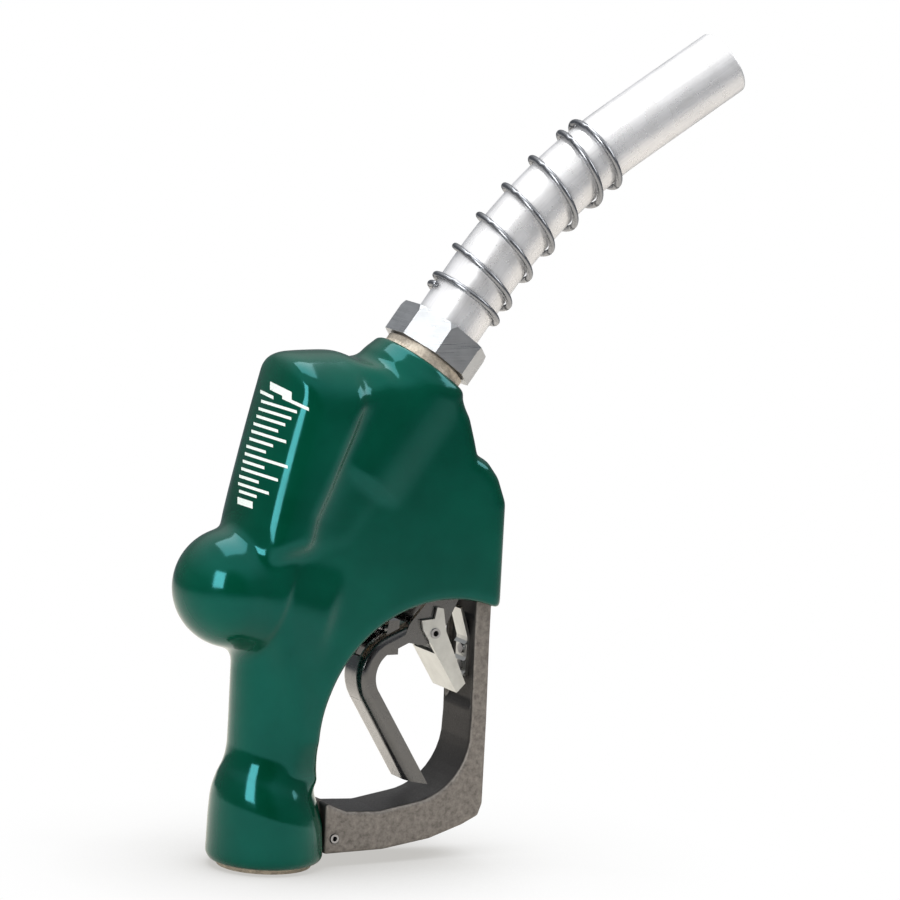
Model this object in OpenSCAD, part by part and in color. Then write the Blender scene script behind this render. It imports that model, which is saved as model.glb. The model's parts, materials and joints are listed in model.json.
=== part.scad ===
// Automatic shut-off fuel nozzle, high-flow size, with a moulded grip cover.
// Frame: origin at the centre of the hose-inlet face, +Z up the handle, +X to the lever
// and spout side. The nozzle is symmetric about the plane Y = 0.

/* [Handle and inlet] */
// Radius of the casting at the middle of the grip
grip_r = 15.8; // [15:0.1:17]
// Radius of the casting at the hose-inlet end
inlet_end_r = 23.2; // [22.5:0.1:24]
// Radius of the hose-inlet thread bore
inlet_r = 15; // [14.5:0.1:15.5]
// Depth of the hose-inlet thread
inlet_depth = 20; // [18:0.5:22]

/* [Body] */
// Half thickness of the casting's flat flanks
flank_half = 21.5; // [20.5:0.1:22.5]
// Radius of the main valve's dome
dome_r = 23.6; // [22.5:0.1:24]
// Wall of the grip cover
cover_wall = 2.6; // [2:0.1:3]
// Gap between casting and grip cover
cover_gap = 0.15; // [0.1:0.05:0.3]

/* [Spout] */
// Outer radius of the spout tube
spout_r = 15.1; // [14.8:0.05:15.3]
// Wall of the spout tube
spout_wall = 1.6; // [1.2:0.1:2]
// Radius of the spout's bend, at its axis
bend_r = 250; // [240:5:265]
// Length of the straight end of the spout
spout_straight = 59.5; // [50:0.5:65]
// Across flats of the eight-sided spout nut
nut_flats = 41; // [39:0.5:42]
// Height of the spout nut
nut_h = 15; // [13:0.5:16]

/* [Anchor spring] */
// Radius of the anchor spring's wire
wire_r = 1.4; // [1.2:0.1:1.5]
// Open turns of the anchor spring
open_turns = 5.1; // [4:0.1:6]
// Distance from the foot of the nut to the first turn
spring_start = 27; // [24:1:32]
// Length of the anchor spring
spring_len = 98; // [85:1:104]

/* [Lever] */
// Width of the lever over its flanges
lever_w = 18; // [17:0.5:19]
// Depth of the lever's channel
lever_d = 8; // [7:0.5:8.5]
// Thickness of the lever's sheet
lever_t = 2; // [1.6:0.1:2.2]
// Length of the lever's finger arm
lever_reach = 50.5; // [46:0.5:51]

/* [Guard] */
// Width of the lever guard
guard_w = 28; // [26:0.5:28]
// Thickness of the guard's front bar
guard_bar = 8; // [7.5:0.5:8.5]

/* [Hidden] */
$fn = 48;

// Places in the plane of symmetry, as [x, z].
dome_at = [-21.4, 124.2];
pivot_at = [82, 121];
neck_top = [67.8, 222.6];
arch_at = [75, 57.5];
arch_r = 63.6;
lever_bend_at = [59, 82.5];
clip_pivot_at = [74, 101.5];
lug_pin_at = [27.3, 12.5];
guard_pin_at = [95.8, 131];
guard_pin_r = 2;
rivets_at = [84.7, 92];

// Overlap and hairline step where the stretches of one bent piece join.
hair = 0.05;

// Angles of the tilted axes from +Z towards +X, in degrees.
valve_tilt = 106;
plunger_tilt = 122;
neck_tilt = 36;
spout_turn = 21.7;
arm_tilt = 66.4;
finger_tilt = 148.1;

// Stations along the main valve's axis, from the dome's centre towards the lever.
cap_face = 0;
casting_face = 1;
seat_at = 38;
seat_end = 43;
gland_at = 50;
gland_end = 56.8;
stem_end = 76.1;
stem_r = 3;
chamber_r = 15;

// Station of the spout tube's foot, above the foot of the nut.
tube_foot = 12.3;
nut_foot = 0.8;

// Stations along the plunger's axis, from the lever pivot outwards.
diaphragm_at = -95;
cavity_end = diaphragm_at + 6;
sleeve_from = diaphragm_at + 8;
sleeve_to = -14;
plunger_from = diaphragm_at + 12;
ball_at = diaphragm_at + 18;
collar_at = diaphragm_at + 26;
spring_step = -32;
plunger_r = 5.5;
pin_r = 3;
ball_r = 1.7;
// Centres of the diaphragm cover's screws, and the station their heads sit on.
screws_at = [for (x = [-26, 6.5]) for (y = [-19.2, 19.2]) [x, y]];
screw_seat = -97;
screw_len = 11;

// Turns a tilted local frame: local +Z leans by tilt from +Z towards +X.
module tilted(place, tilt) {
    translate([place[0], 0, place[1]]) rotate([0, tilt, 0]) children();
}
module on_valve() { tilted(dome_at, valve_tilt) children(); }
module on_plunger() { tilted(pivot_at, plunger_tilt) children(); }
module on_neck() { tilted(neck_top, neck_tilt) children(); }

// A cylinder between two stations of the local axis.
module rod(r, from, to) { translate([0, 0, from]) cylinder(r = r, h = to - from); }
module ring(r_out, r_in, from, to) {
    difference() {
        rod(r_out, from, to);
        rod(r_in, from - 1, to + 1);
    }
}
// A plate cut from an outline of [x, z] points, centred on the plane of symmetry.
module plate(points, half) {
    rotate([90, 0, 0]) linear_extrude(height = 2 * half, center = true) polygon(points);
}
module cross_rod(place, r, half) {
    translate([place[0], 0, place[1]]) rotate([90, 0, 0]) cylinder(r = r, h = 2 * half, center = true);
}
// A half space block: everything beyond a station of the local axis.
module beyond(from, size = 120) {
    translate([-size, -size, from]) cube([2 * size, 2 * size, 2 * size]);
}

// Outline points moved outwards by g, for outlines listed counter-clockwise.
function edge_normal(a, b) = let (d = b - a, n = norm(d)) [d[1] / n, -d[0] / n];
function grown(p, g) = [for (i = [0 : len(p) - 1])
    let (a = p[(i + len(p) - 1) % len(p)], b = p[i], c = p[(i + 1) % len(p)],
        m = edge_normal(a, b), n = edge_normal(b, c))
    b + (m + n) * g / (1 + m * n)];

// A wire swept along a path: one many-sided mesh with closed ends.
function unit(v) = v / norm(v);
function sweep_rings(path, r, sides) = [for (i = [0 : len(path) - 1])
    let (a = path[max(i - 1, 0)], b = path[min(i + 1, len(path) - 1)], t = unit(b - a),
        side = unit(cross(t, abs(t[1]) < 0.9 ? [0, 1, 0] : [1, 0, 0])), up = cross(t, side))
    for (k = [0 : sides - 1])
        path[i] + r * (cos(360 * k / sides) * side + sin(360 * k / sides) * up)];
module wire(path, r, sides = 8) {
    n = len(path);
    polyhedron(
        points = sweep_rings(path, r, sides),
        faces = concat(
            [[for (k = [0 : sides - 1]) k]],
            [for (i = [0 : n - 2]) for (k = [0 : sides - 1]) for (half = [0, 1])
                let (k2 = (k + 1) % sides, a = i * sides, b = a + sides)
                half == 0 ? [a + k, b + k, b + k2] : [a + k, b + k2, a + k2]],
            [[for (k = [sides - 1 : -1 : 0]) (n - 1) * sides + k]]));
}
// A straight helical spring on the local axis, its end turns close wound.
module coil(mean_r, r, from, to, turns, steps = 14, sides = 6) {
    lead = 2.15 * r;
    run = to - from - 2 * r - 2 * lead;
    total = turns + 2;
    wire([for (i = [0 : total * steps]) let (u = i / steps,
        z = u < 1 ? u * lead : u > total - 1 ? lead + run + (u - total + 1) * lead
            : lead + (u - 1) / turns * run)
        [mean_r * cos(360 * u), mean_r * sin(360 * u), from + r + z]], r, sides);
}

// Solid form of the casting, grown outwards by g. The grip cover uses it too.
flank = [[12, 60], [98.5, 60], [98.5, 160], [94.5, 170.5], [89.5, 177], [83.5, 180.5],
    [81.5, 188], [78.5, 198], [73.5, 206], [73.5, 211.5], [66, 213.5], [38, 214], [8, 205],
    [-12, 140], [-4, 96]];
// Left and top of the bulge over the diaphragm, then its core and its two raised sides.
bulge_left = [[9.4, 224.1], [2, 223.1], [-1.2, 221.6], [-3.6, 218.6], [-6, 211.5],
    [-11.2, 197.5], [-15.6, 184.5], [-18.6, 171.5], [-19.7, 163], [-20.4, 153], [-16, 144]];
bulge_core = concat([[20, 148], [45, 180], [45, 205], [38, 218.8], [29, 221.3], [16, 224.4]],
    bulge_left);
bulge_sides = concat([[0, 148], [2, 158.6], [7.5, 170.5], [13, 184], [18.5, 197], [22, 207],
    [22, 224.2]], bulge_left);
// Crown over the top of the bulge, round about a line along X.
crown_z = 197.5;
crown_r = 27.25;
// Bulb at the handle's foot, from its widest part up to the grip, as [radius, z].
bulb = [[22.75, 11], [22.35, 20], [21.85, 25], [19.75, 31], [17.65, 36], [16.45, 40]];
function grip_profile(g, z0) = concat(
    [[0, z0], [inlet_end_r + g - 2.5, z0], [inlet_end_r + g, z0 + 4]],
    [for (p = bulb) p + [g, 0]], [[grip_r + g, 44], [grip_r + g, 112], [0, 112]]);
module body_form(g, z0) {
    rotate_extrude() polygon(grip_profile(g, z0));
    difference() {
        plate(grown(flank, g), flank_half + g);
        cross_rod(arch_at, arch_r - g, 60);
    }
    on_valve() {
        sphere(r = dome_r + g);
        rod(dome_r + g, 0, 14);
        rod(flank_half + g, 10, 36);
    }
    intersection() {
        union() {
            plate(grown(bulge_core, g), 15 + g);
            plate(grown(bulge_sides, g), 26 + g);
        }
        tilted([15.1, 173.1], 13.4) rod(31.25 + g, -80, 120);
        translate([-60, 0, crown_z]) union() {
            rotate([0, 90, 0]) cylinder(r = crown_r + g, h = 140);
            translate([0, -crown_r - g, -80]) cube([140, 2 * (crown_r + g), 80]);
        }
    }
    on_neck() {
        rod(22 + g, -62, -12);
        translate([0, 0, -12]) cylinder(r1 = 22 + g, r2 = 19 + g, h = 9.5);
    }
}
module half_beyond_diaphragm() {
    on_plunger() translate([-80, -60, -200]) cube([107, 120, 200 + diaphragm_at]);
}
// Room for the lever's arm, its ears and the clip, open downwards.
lever_slot = [[25, 60], [91.9, 60], [91.9, 112], [96, 116], [91.9, 128.5], [76, 128.5],
    [70.5, 122.5], [50, 118.6], [38, 111.6], [28.5, 103.6]];
module lever_room(half) {
    plate(lever_slot, half);
}
module guard_room(half, gap) {
    translate([92.3 - gap, -half, 60]) cube([12, 2 * half, 76 + gap]);
}

module body_casting() color("#b9b6ae") difference() {
    union() {
        difference() {
            body_form(0, 0);
            half_beyond_diaphragm();
            on_valve() rotate([180, 0, 0]) rod(40, -casting_face, 60);
        }
        on_neck() rod(17, -12, 9);
        on_neck() rod(19, -3, 0);
        plate([[15, 6.5], [31.5, 6.5], [31.5, 18.5], [15, 18.5]], 5);
    }
    rod(inlet_r, -1, inlet_depth);
    rod(14.8, inlet_depth - 1, 24);
    rod(11, 23, 108);
    on_valve() {
        rod(20, 0, 9.5);
        rod(chamber_r, 8, seat_end);
        rod(9.5, seat_end - 1, gland_at - 1);
        rod(stem_r + 0.4, gland_at - 2, gland_at + 1);
        rod(7, gland_at, 80);
        translate([-64, -13, seat_end + 0.2]) cube([64, 26, 6]);
    }
    on_neck() {
        rod(12, -68, 20);
        rod(14.6, -28, 20);
    }
    on_plunger() {
        rod(9, sleeve_from, 40);
        rod(16, diaphragm_at - 1, cavity_end);
        rod(6.5, cavity_end - 1, sleeve_from + 1);
        for (p = screws_at) translate([p[0], p[1], diaphragm_at - 1]) cylinder(r = 2, h = 12);
    }
    lever_room(12.5);
    guard_room(guard_w / 2 + 0.1, 0.1);
    cross_rod(guard_pin_at, guard_pin_r, 40);
    cross_rod(lug_pin_at, 2, 20);
}

module scuff_cover() color("#0a5243") difference() {
    body_form(cover_wall + cover_gap, 1.5);
    body_form(cover_gap, -1);
    rod(inlet_end_r + cover_gap - 2, -5, 6);
    on_neck() beyond(-5, 60);
    on_plunger() rod(9.5, sleeve_to, 12);
    lever_room(13.2);
    guard_room(guard_w / 2 + 0.4, 0.6);
    plate([[20, 2], [40, 2], [40, 33], [20, 33]], guard_w / 2 + 0.4);
}

// Outer and inner edge of the guard, each with a round corner at the lower front.
function arc(place, r, from, to, steps) = [for (i = [0 : steps])
    let (a = from + (to - from) * i / steps) place + r * [cos(a), sin(a)]];
guard_x = 100.4;
guard_top = 136;
guard_outline = concat(
    [[22.4, 5.6], [52, 6], [75, 9.4], [91, 14.6], [99, 18.4]],
    [[guard_x + 0.6, 24], [guard_x + 0.6, 62], [guard_x, 98], [guard_x, guard_top]],
    [[guard_x - guard_bar, guard_top], [guard_x - guard_bar, 98], [93, 62]],
    arc([63, 56], 29.8, 2, -84, 10),
    [[49, 23.6], [33, 24.4], [22.4, 29]]);
module lever_guard() color("#8d8880") difference() {
    plate(guard_outline, guard_w / 2);
    // Fork that takes the handle's lug.
    plate([[10, 2], [32, 2], [32, 33], [10, 33]], 5.1);
    rod(inlet_end_r + 0.2, 0, 40);
    cross_rod(lug_pin_at, 2, 20);
    cross_rod(guard_pin_at, guard_pin_r, 40);
    // Relief behind the lever's ears, and the shallow pocket the clip latches into.
    plate([[85, 107], [96, 107], [96.5, 128.5], [85, 128.5]], 11.5);
    plate([[85, 66], [92.5, 66], [95, 70], [95, 108], [85, 108]], 11.5);
    for (z = rivets_at) translate([90, 0, z]) rotate([0, 90, 0]) cylinder(r = 1.5, h = 12);
}
module guard_pins() color("#6f6f70") {
    cross_rod(guard_pin_at, guard_pin_r, flank_half - 0.3);
    difference() {
        cross_rod(lug_pin_at, 2, guard_w / 2 + 0.3);
        cross_rod(lug_pin_at, 1.1, guard_w);
    }
}

module inlet_strainer() color("#c9cccd") difference() {
    union() {
        ring(14.7, 12.4, 21.6, 24);
        rod(13, 21.6, 22.6);
    }
    for (r = [0, 3.6, 7.2, 10.6]) for (i = [0 : max(0, round(r * 1.66) - 1)])
        rotate(360 * i / max(1, round(r * 1.66))) translate([r, 0, 20]) cylinder(r = 1.15, h = 5);
}
module strainer_ring() color("#55585a") ring(14.75, 12.6, 20.3, 21.6);

module main_valve_cap() color("#b0aea6") on_valve() difference() {
    union() {
        intersection() {
            sphere(r = dome_r);
            rotate([180, 0, 0]) beyond(0, 40);
        }
        rod(19.9, 0, 9);
    }
    rod(chamber_r, -13, 10);
    rod(5, -17, 0);
}
module cap_gasket() color("#2b2b2b") on_valve() ring(23.2, 20.1, cap_face, casting_face);
module main_valve_seat() color("#b98b46") on_valve() difference() {
    rod(chamber_r, seat_at, seat_end);
    rod(9, seat_at - 1, seat_end + 1);
}
module main_valve_spring() color("#9fa3a6") on_valve() coil(8.2, 1.2, -13, 29, 5);
module valve_poppet() color("#b98b46") on_valve() difference() {
    union() {
        rod(11.5, 31, 35.2);
        rod(6.2, 22, 31);
    }
    rod(2.2, 20, 40);
}
module valve_seal() color("#1e1e1e") on_valve() ring(11.6, 4, 35.2, seat_at);
module poppet_nut() color("#8b8e90") on_valve() difference() {
    rod(7.2, seat_at, 40.6);
    rod(3.9, 35, 42);
}
module valve_stem() color("#a9acae") on_valve() difference() {
    union() {
        rod(2.2, 19.5, 35.2);
        rod(3.9, 35.2, 42);
        rod(stem_r, 42, stem_end);
    }
    rod(1, 10, 24);
}
module stem_packing() color("#2e2a26") on_valve() ring(7, stem_r + 0.04, gland_at, 51.8);
module stem_gland() color("#b98b46") on_valve() difference() {
    rod(7, 51.8, gland_end);
    rod(stem_r + 0.04, 50, 60);
    for (a = [0, 180]) rotate(a) translate([5, 0, 54.5]) cylinder(r = 0.9, h = 5);
}

module diaphragm_cover() color("#b0aea6") difference() {
    intersection() {
        body_form(0, 0);
        half_beyond_diaphragm();
    }
    on_plunger() {
        rod(16, diaphragm_at - 11, diaphragm_at + 1);
        for (p = screws_at) translate([p[0], p[1], 0]) {
            rod(2.2, -130, diaphragm_at + 1);
            rod(3.5, -130, screw_seat);
        }
        rod(18, diaphragm_at - 1, diaphragm_at + 1);
    }
    on_valve() rod(dome_r + 0.2, -30, 36);
    on_valve() sphere(r = dome_r + 0.2);
}
module diaphragm_cover_screws() color("#77797b") on_plunger()
    for (p = screws_at) translate([p[0], p[1], screw_seat]) difference() {
        union() {
            rod(2, 0, screw_len);
            rod(3.2, -3, 0);
        }
        translate([0, 0, -4]) cylinder(r = 1.7, h = 2.8, $fn = 6);
    }
module diaphragm() color("#2b2b2b") on_plunger() ring(18, 1.6, diaphragm_at - 1, diaphragm_at);
module diaphragm_plates() color("#c2a25a") on_plunger() {
    ring(9, 1.6, diaphragm_at, diaphragm_at + 1);
    ring(9, 1.6, diaphragm_at - 2, diaphragm_at - 1);
}
module diaphragm_spring() color("#9fa3a6") on_plunger() coil(6.6, 0.6, diaphragm_at - 11, diaphragm_at - 2, 3, 12);
module latch_pin() color("#c4c6c8") on_plunger() {
    rod(1.55, diaphragm_at - 4.5, diaphragm_at + 2);
    rod(4, diaphragm_at + 1, diaphragm_at + 2);
    rod(2.5, diaphragm_at + 1.5, ball_at + 2);
    translate([0, 0, ball_at + 2]) cylinder(r1 = 2.5, r2 = 1.4, h = 2);
}
module latch_nut() color("#8b8e90") on_plunger() difference() {
    translate([0, 0, diaphragm_at - 4.2]) cylinder(r = 3.2, h = 2.2, $fn = 6);
    rod(1.55, diaphragm_at - 6, diaphragm_at);
}
module latch_balls() color("#d5d7d9") on_plunger()
    for (a = [0, 120, 240]) rotate(a) translate([4.3, 0, ball_at]) sphere(r = ball_r);
module plunger_sleeve() color("#b98b46") on_plunger() difference() {
    rod(9, sleeve_from, sleeve_to);
    rod(5.56, sleeve_from - 1, 0);
    rod(6.3, ball_at - 2.2, collar_at);
    rod(7.8, collar_at - 2, spring_step);
}
module plunger() color("#bfc2c4") on_plunger() difference() {
    union() {
        rod(plunger_r, plunger_from, 5);
        rod(7.6, collar_at, collar_at + 2);
    }
    rod(2.7, plunger_from - 1, ball_at + 6);
    for (a = [0, 120, 240]) rotate(a) translate([0, 0, ball_at]) rotate([0, 90, 0])
        cylinder(r = ball_r + 0.05, h = 8);
    rotate([90, 0, 0]) cylinder(r = pin_r + 0.04, h = 20, center = true);
}
module plunger_spring() color("#9fa3a6") on_plunger() coil(6.65, 0.65, collar_at + 2, spring_step, 7, 12);

module lever_pivot_pin() color("#9a9da0") difference() {
    cross_rod(pivot_at, pin_r, 11.4);
    for (y = [-10.3, 10.3]) translate([pivot_at[0], y, pivot_at[1]]) rotate([90, 0, 0]) difference() {
        cylinder(r = 4, h = 0.9, center = true);
        cylinder(r = 2.4, h = 2, center = true);
    }
}
module pivot_rings() color("#5d6062")
    for (y = [-10.3, 10.3]) translate([pivot_at[0], y, pivot_at[1]]) rotate([90, 0, 0]) difference() {
        cylinder(r = 4.4, h = 0.8, center = true);
        cylinder(r = 2.4, h = 2, center = true);
    }

// Channel section of the lever: x runs from the finger edges (0) out to the web. The sheet
// is thinner by inset on each face, so that the bend's section lies inside the straights'.
lever_corner = 4;
module lever_section(inset = 0) {
    half = lever_w / 2;
    heart = lever_d - lever_corner;
    difference() {
        union() {
            translate([inset, inset - half]) square([heart - inset, lever_w - 2 * inset]);
            translate([inset, lever_corner - half])
                square([lever_d - 2 * inset, lever_w - 2 * lever_corner]);
            for (y = [-1, 1]) translate([heart, y * (half - lever_corner)])
                circle(r = lever_corner - inset);
        }
        translate([-1, lever_t - inset - half])
            square([heart + 1, lever_w - 2 * lever_t + 2 * inset]);
        translate([-1, lever_corner - half])
            square([lever_d - lever_t + inset + 1, lever_w - 2 * lever_corner]);
        for (y = [-1, 1]) translate([heart, y * (half - lever_corner)])
            circle(r = lever_corner - lever_t + inset);
    }
}
bend_in = 12.4;
lever_turn = finger_tilt - arm_tilt;
// Straight run of the channel: starts on the bend and follows the local axis, with the web
// on local +X (side = 1) or local -X (side = -1).
module lever_run(tilt, length, side) tilted(lever_bend_at, tilt)
    translate([0, 0, -hair]) linear_extrude(height = length + hair)
        mirror([side < 0 ? 1 : 0, 0]) translate([bend_in, 0]) lever_section();
module lever_bend() translate([lever_bend_at[0], 0, lever_bend_at[1]]) rotate([90, 0, 0])
    rotate(180 - arm_tilt) rotate_extrude(angle = 180 - lever_turn, $fn = 96)
        translate([bend_in, 0]) lever_section(hair);
ear = [[59, 98], [69, 96], [79.2, 99.6], [80, 104], [87, 118], [82, 121], [77, 123], [62, 105.8]];
module lever_ears() for (y = [-1, 1]) translate([0, y * (lever_w / 2 - lever_t / 2), 0]) {
    plate(ear, lever_t / 2);
    cross_rod(pivot_at, 5.4, lever_t / 2);
    cross_rod(clip_pivot_at, 5.4, lever_t / 2);
}
module lever() color("#17181a") difference() {
    union() {
        lever_bend();
        lever_run(arm_tilt, 12, -1);
        lever_run(finger_tilt, lever_reach + 1, 1);
        lever_ears();
        plate([[50.9, 92], [52.75, 107.5], [58, 107.5], [58, 92]], lever_w / 2 - lever_t);
    }
    // The finger arm ends in a slant, its web shorter than its two edges.
    tilted(lever_bend_at, finger_tilt) translate([bend_in, 0, lever_reach])
        rotate([0, 43, 0]) beyond(0, 40);
    // Slot that lets the valve stem through the web, up to the cam block.
    plate([[36, 91.2], [50.5, 91.2], [51.8, 101], [52.7, 107.8], [36, 107.8]], 3.7);
    cross_rod(pivot_at, pin_r + 0.05, 20);
    cross_rod(clip_pivot_at, 2.3, 20);
}
module clip_pin() color("#8f9294") difference() {
    cross_rod(clip_pivot_at, 2.3, 11.6);
    cross_rod(clip_pivot_at, 1.3, 20);
}
module clip_spring() color("#9fa3a6") translate([clip_pivot_at[0], 0, clip_pivot_at[1]])
    rotate([90, 0, 0]) coil(3.2, 0.5, -5.5, 5.5, 7, 12);

clip_half = 11;
clip_sheet = 1.6;
clip_side = [[67, 107.5], [68, 103], [72, 97], [86.2, 74.2], [90.4, 78.2], [79.5, 102], [77.6, 112.4],
    [74.4, 113.2], [73.4, 108]];
module hold_open_clip() color("#cfd2cd") difference() {
    union() {
        for (y = [-1, 1]) translate([0, y * (clip_half - clip_sheet / 2), 0])
            plate(clip_side, clip_sheet / 2);
        plate([[75.1, 92], [86.2, 74.2], [87.6, 75.3], [76.6, 93]], clip_half);
    }
    cross_rod(clip_pivot_at, 2.36, 20);
}
module hold_open_rack() color("#dcdedd") difference() {
    union() {
        plate([[93.6, 80], [94.9, 80], [94.9, 98], [93.6, 98]], 5);
        plate([[93.6, 97.6], [94.9, 98], [90.6, 111.4], [89.4, 110.8]], 5);
        for (z = [81, 87, 94.5]) plate([[92.4, z], [94.8, z], [94.8, z + 3]], 5);
    }
    for (z = rivets_at) translate([88, 0, z]) rotate([0, 90, 0]) cylinder(r = 1.5, h = 12);
}
module rack_rivets() color("#9a9da0")
    for (z = rivets_at) translate([0, 0, z]) rotate([0, 90, 0]) {
        rod(1.5, 93.6, guard_x - 1.2);
        rod(2.2, 92.8, 93.6);
    }

module spout_nut() color("#a3a5a7") on_neck() difference() {
    intersection() {
        translate([0, 0, nut_foot]) rotate(22.5)
            cylinder(r = nut_flats / 2 / cos(22.5), h = nut_h, $fn = 8);
        translate([0, 0, nut_foot]) cylinder(r1 = 25.5, r2 = 36.5 - nut_h, h = nut_h);
    }
    rod(17.1, 0, 12.4);
    rod(15.4, 0, 30);
}
module spout_oring() color("#222222") on_neck() ring(16.9, 15.5, 9, 10.2);
module spout_adapter() color("#b8bbbc") on_neck() difference() {
    union() {
        rod(14.5, -16, 9);
        rod(15.4, 9, 10.2);
        rod(16.8, 10.2, tube_foot);
        rod(spout_r - spout_wall, tube_foot, tube_foot + 7);
    }
    rod(12.4, -17, 8);
    rod(11.6, 7, 30);
}
module check_valve_seat() color("#b98b46") on_neck() difference() {
    rod(14.6, -28, -23);
    rod(8, -29, -22);
}
module check_valve_poppet() color("#2f3133") on_neck() {
    rod(10.2, -23, -20);
    rod(2, -20, -5);
}
module check_valve_spring() color("#9fa3a6") on_neck() coil(4.2, 0.6, -20, -9, 4, 12);
module check_valve_guide() color("#b98b46") on_neck() difference() {
    union() {
        ring(12.4, 10.6, -14, -6);
        for (a = [0, 120, 240]) rotate(a) translate([3, -0.9, -9]) cube([8.4, 1.8, 3]);
        rod(5.4, -9, -6);
    }
    rod(2.06, -15, 0);
}

// The spout's axis: a straight from the nut, a bend of spout_turn, and a straight end.
// s is the distance from the foot of the nut, and off moves the point across the axis.
bend_start = 42;
arc_length = bend_r * spout_turn * PI / 180;
bend_end = bend_start + arc_length;
tip_at = bend_end + spout_straight;
function spout_axis(s, off = 0) = let (
    foot = neck_top + bend_start * [sin(neck_tilt), cos(neck_tilt)],
    centre = foot + bend_r * [cos(neck_tilt), -sin(neck_tilt)],
    a = neck_tilt + spout_turn * min(max((s - bend_start) / arc_length, 0), 1),
    beyond_arc = s < bend_start ? s - bend_start : max(s - bend_end, 0))
    centre + (bend_r + off) * [-cos(a), sin(a)] + beyond_arc * [sin(a), cos(a)];
module at_spout(s) {
    tilted(spout_axis(s), neck_tilt + (s < bend_end ? 0 : spout_turn)) children();
}
// Solid that follows the spout's axis, off to one side of it by off. The straights overlap
// the bend by a hair, and the bend differs by a hairline step, so the stretches join.
module spout_run(r, r_bend, from, to, off) {
    on_neck() translate([-off, 0, 0]) rod(r, from, bend_start + hair);
    at_spout(bend_start) translate([bend_r, 0, 0]) rotate([90, 0, 0])
        rotate(180 - spout_turn) rotate_extrude(angle = spout_turn, $fn = 180)
            translate([bend_r + off, 0]) circle(r = r_bend);
    at_spout(bend_end) translate([-off, 0, 0]) rod(r, -hair, to - bend_end);
}
module spout_pipe(r_out, r_in, from, to, off = 0) difference() {
    spout_run(r_out, r_out - hair, from, to, off);
    spout_run(r_in, r_in + hair, from - 1, to + 1, off);
}
module spout_tube() color("#d9dadb") difference() {
    spout_pipe(spout_r, spout_r - spout_wall, tube_foot, tip_at);
    // Air-sensing port near the tip, on the underside.
    at_spout(tip_at - port_back) rotate([0, 90, 0]) cylinder(r = 2, h = 20);
}
vent_off = -8.2;
port_back = 14;
module vent_tube() color("#c9b27a") spout_pipe(2.6, 1.8, 2, tip_at - port_back - 4, vent_off);
module vent_tip() color("#b98b46") at_spout(tip_at - port_back) difference() {
    union() {
        translate([-vent_off, 0, -4]) cylinder(r = 3.4, h = 9);
        rotate([0, 90, 0]) rod(2, -vent_off, spout_r - 0.5);
    }
    rotate([0, 90, 0]) rod(1.1, -vent_off - 0.5, 20);
}

// Anchor spring: open turns between two close turns at each end, along the spout's axis.
spring_steps = 18;
close_turns = 1.2;
close_lead = 4.5;
all_turns = open_turns + 2 * close_turns;
open_lead = (spring_len - 2 * wire_r - 2 * close_turns * close_lead) / open_turns;
function spring_run(u) = close_lead * (min(u, close_turns) + max(u - close_turns - open_turns, 0))
    + open_lead * min(max(u - close_turns, 0), open_turns);
// The end turns grip the tube and the open turns stand a little off it.
function spring_mean(u) = spout_r + wire_r + 0.12 + 1.1 * min(1, min(u, all_turns - u) / 1.6);
function spring_point(u) = let (a = 360 * u,
    p = spout_axis(spring_start + wire_r + spring_run(u), spring_mean(u) * cos(a)))
    [p[0], spring_mean(u) * sin(a), p[1]];
module anchor_spring() color("#7d8187")
    wire([for (i = [0 : ceil(all_turns * spring_steps)])
        spring_point(min(i / spring_steps, all_turns))], wire_r, 8);

body_casting();
scuff_cover();
lever_guard();
guard_pins();
inlet_strainer();
strainer_ring();
main_valve_cap();
cap_gasket();
main_valve_seat();
main_valve_spring();
valve_stem();
valve_poppet();
valve_seal();
poppet_nut();
stem_gland();
stem_packing();
diaphragm_cover();
diaphragm_cover_screws();
diaphragm();
diaphragm_plates();
diaphragm_spring();
latch_pin();
latch_nut();
latch_balls();
plunger_sleeve();
plunger();
plunger_spring();
lever_pivot_pin();
pivot_rings();
lever();
clip_pin();
clip_spring();
hold_open_clip();
hold_open_rack();
rack_rivets();
spout_nut();
spout_oring();
spout_adapter();
check_valve_seat();
check_valve_poppet();
check_valve_spring();
check_valve_guide();
spout_tube();
anchor_spring();
vent_tube();
vent_tip();
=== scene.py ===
import json
import math

import bmesh
import bpy
import numpy as np
import openvdb
from mathutils import Matrix, Vector
from mathutils.bvhtree import BVHTree


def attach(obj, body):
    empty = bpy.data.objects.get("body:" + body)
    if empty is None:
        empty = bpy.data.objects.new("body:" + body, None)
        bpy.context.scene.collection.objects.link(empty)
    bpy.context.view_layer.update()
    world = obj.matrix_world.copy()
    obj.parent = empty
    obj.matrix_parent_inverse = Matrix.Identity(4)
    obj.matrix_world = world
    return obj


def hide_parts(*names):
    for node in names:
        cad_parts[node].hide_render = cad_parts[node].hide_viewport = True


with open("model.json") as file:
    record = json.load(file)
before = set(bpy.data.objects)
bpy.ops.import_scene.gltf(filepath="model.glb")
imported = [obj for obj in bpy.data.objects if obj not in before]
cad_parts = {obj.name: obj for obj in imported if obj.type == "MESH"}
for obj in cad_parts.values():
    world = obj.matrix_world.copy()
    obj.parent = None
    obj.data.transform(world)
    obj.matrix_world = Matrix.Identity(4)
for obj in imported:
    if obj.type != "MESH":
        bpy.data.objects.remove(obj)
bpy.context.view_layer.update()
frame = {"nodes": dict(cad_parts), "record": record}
MM = 0.001


# ---------------------------------------------------------------- places
# The same places as in the part's source, in millimetres and degrees.
def turned(tilt):
    """Unit axis that leans by tilt from +Z towards +X."""
    t = math.radians(tilt)
    return np.array([math.sin(t), 0.0, math.cos(t)])


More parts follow.
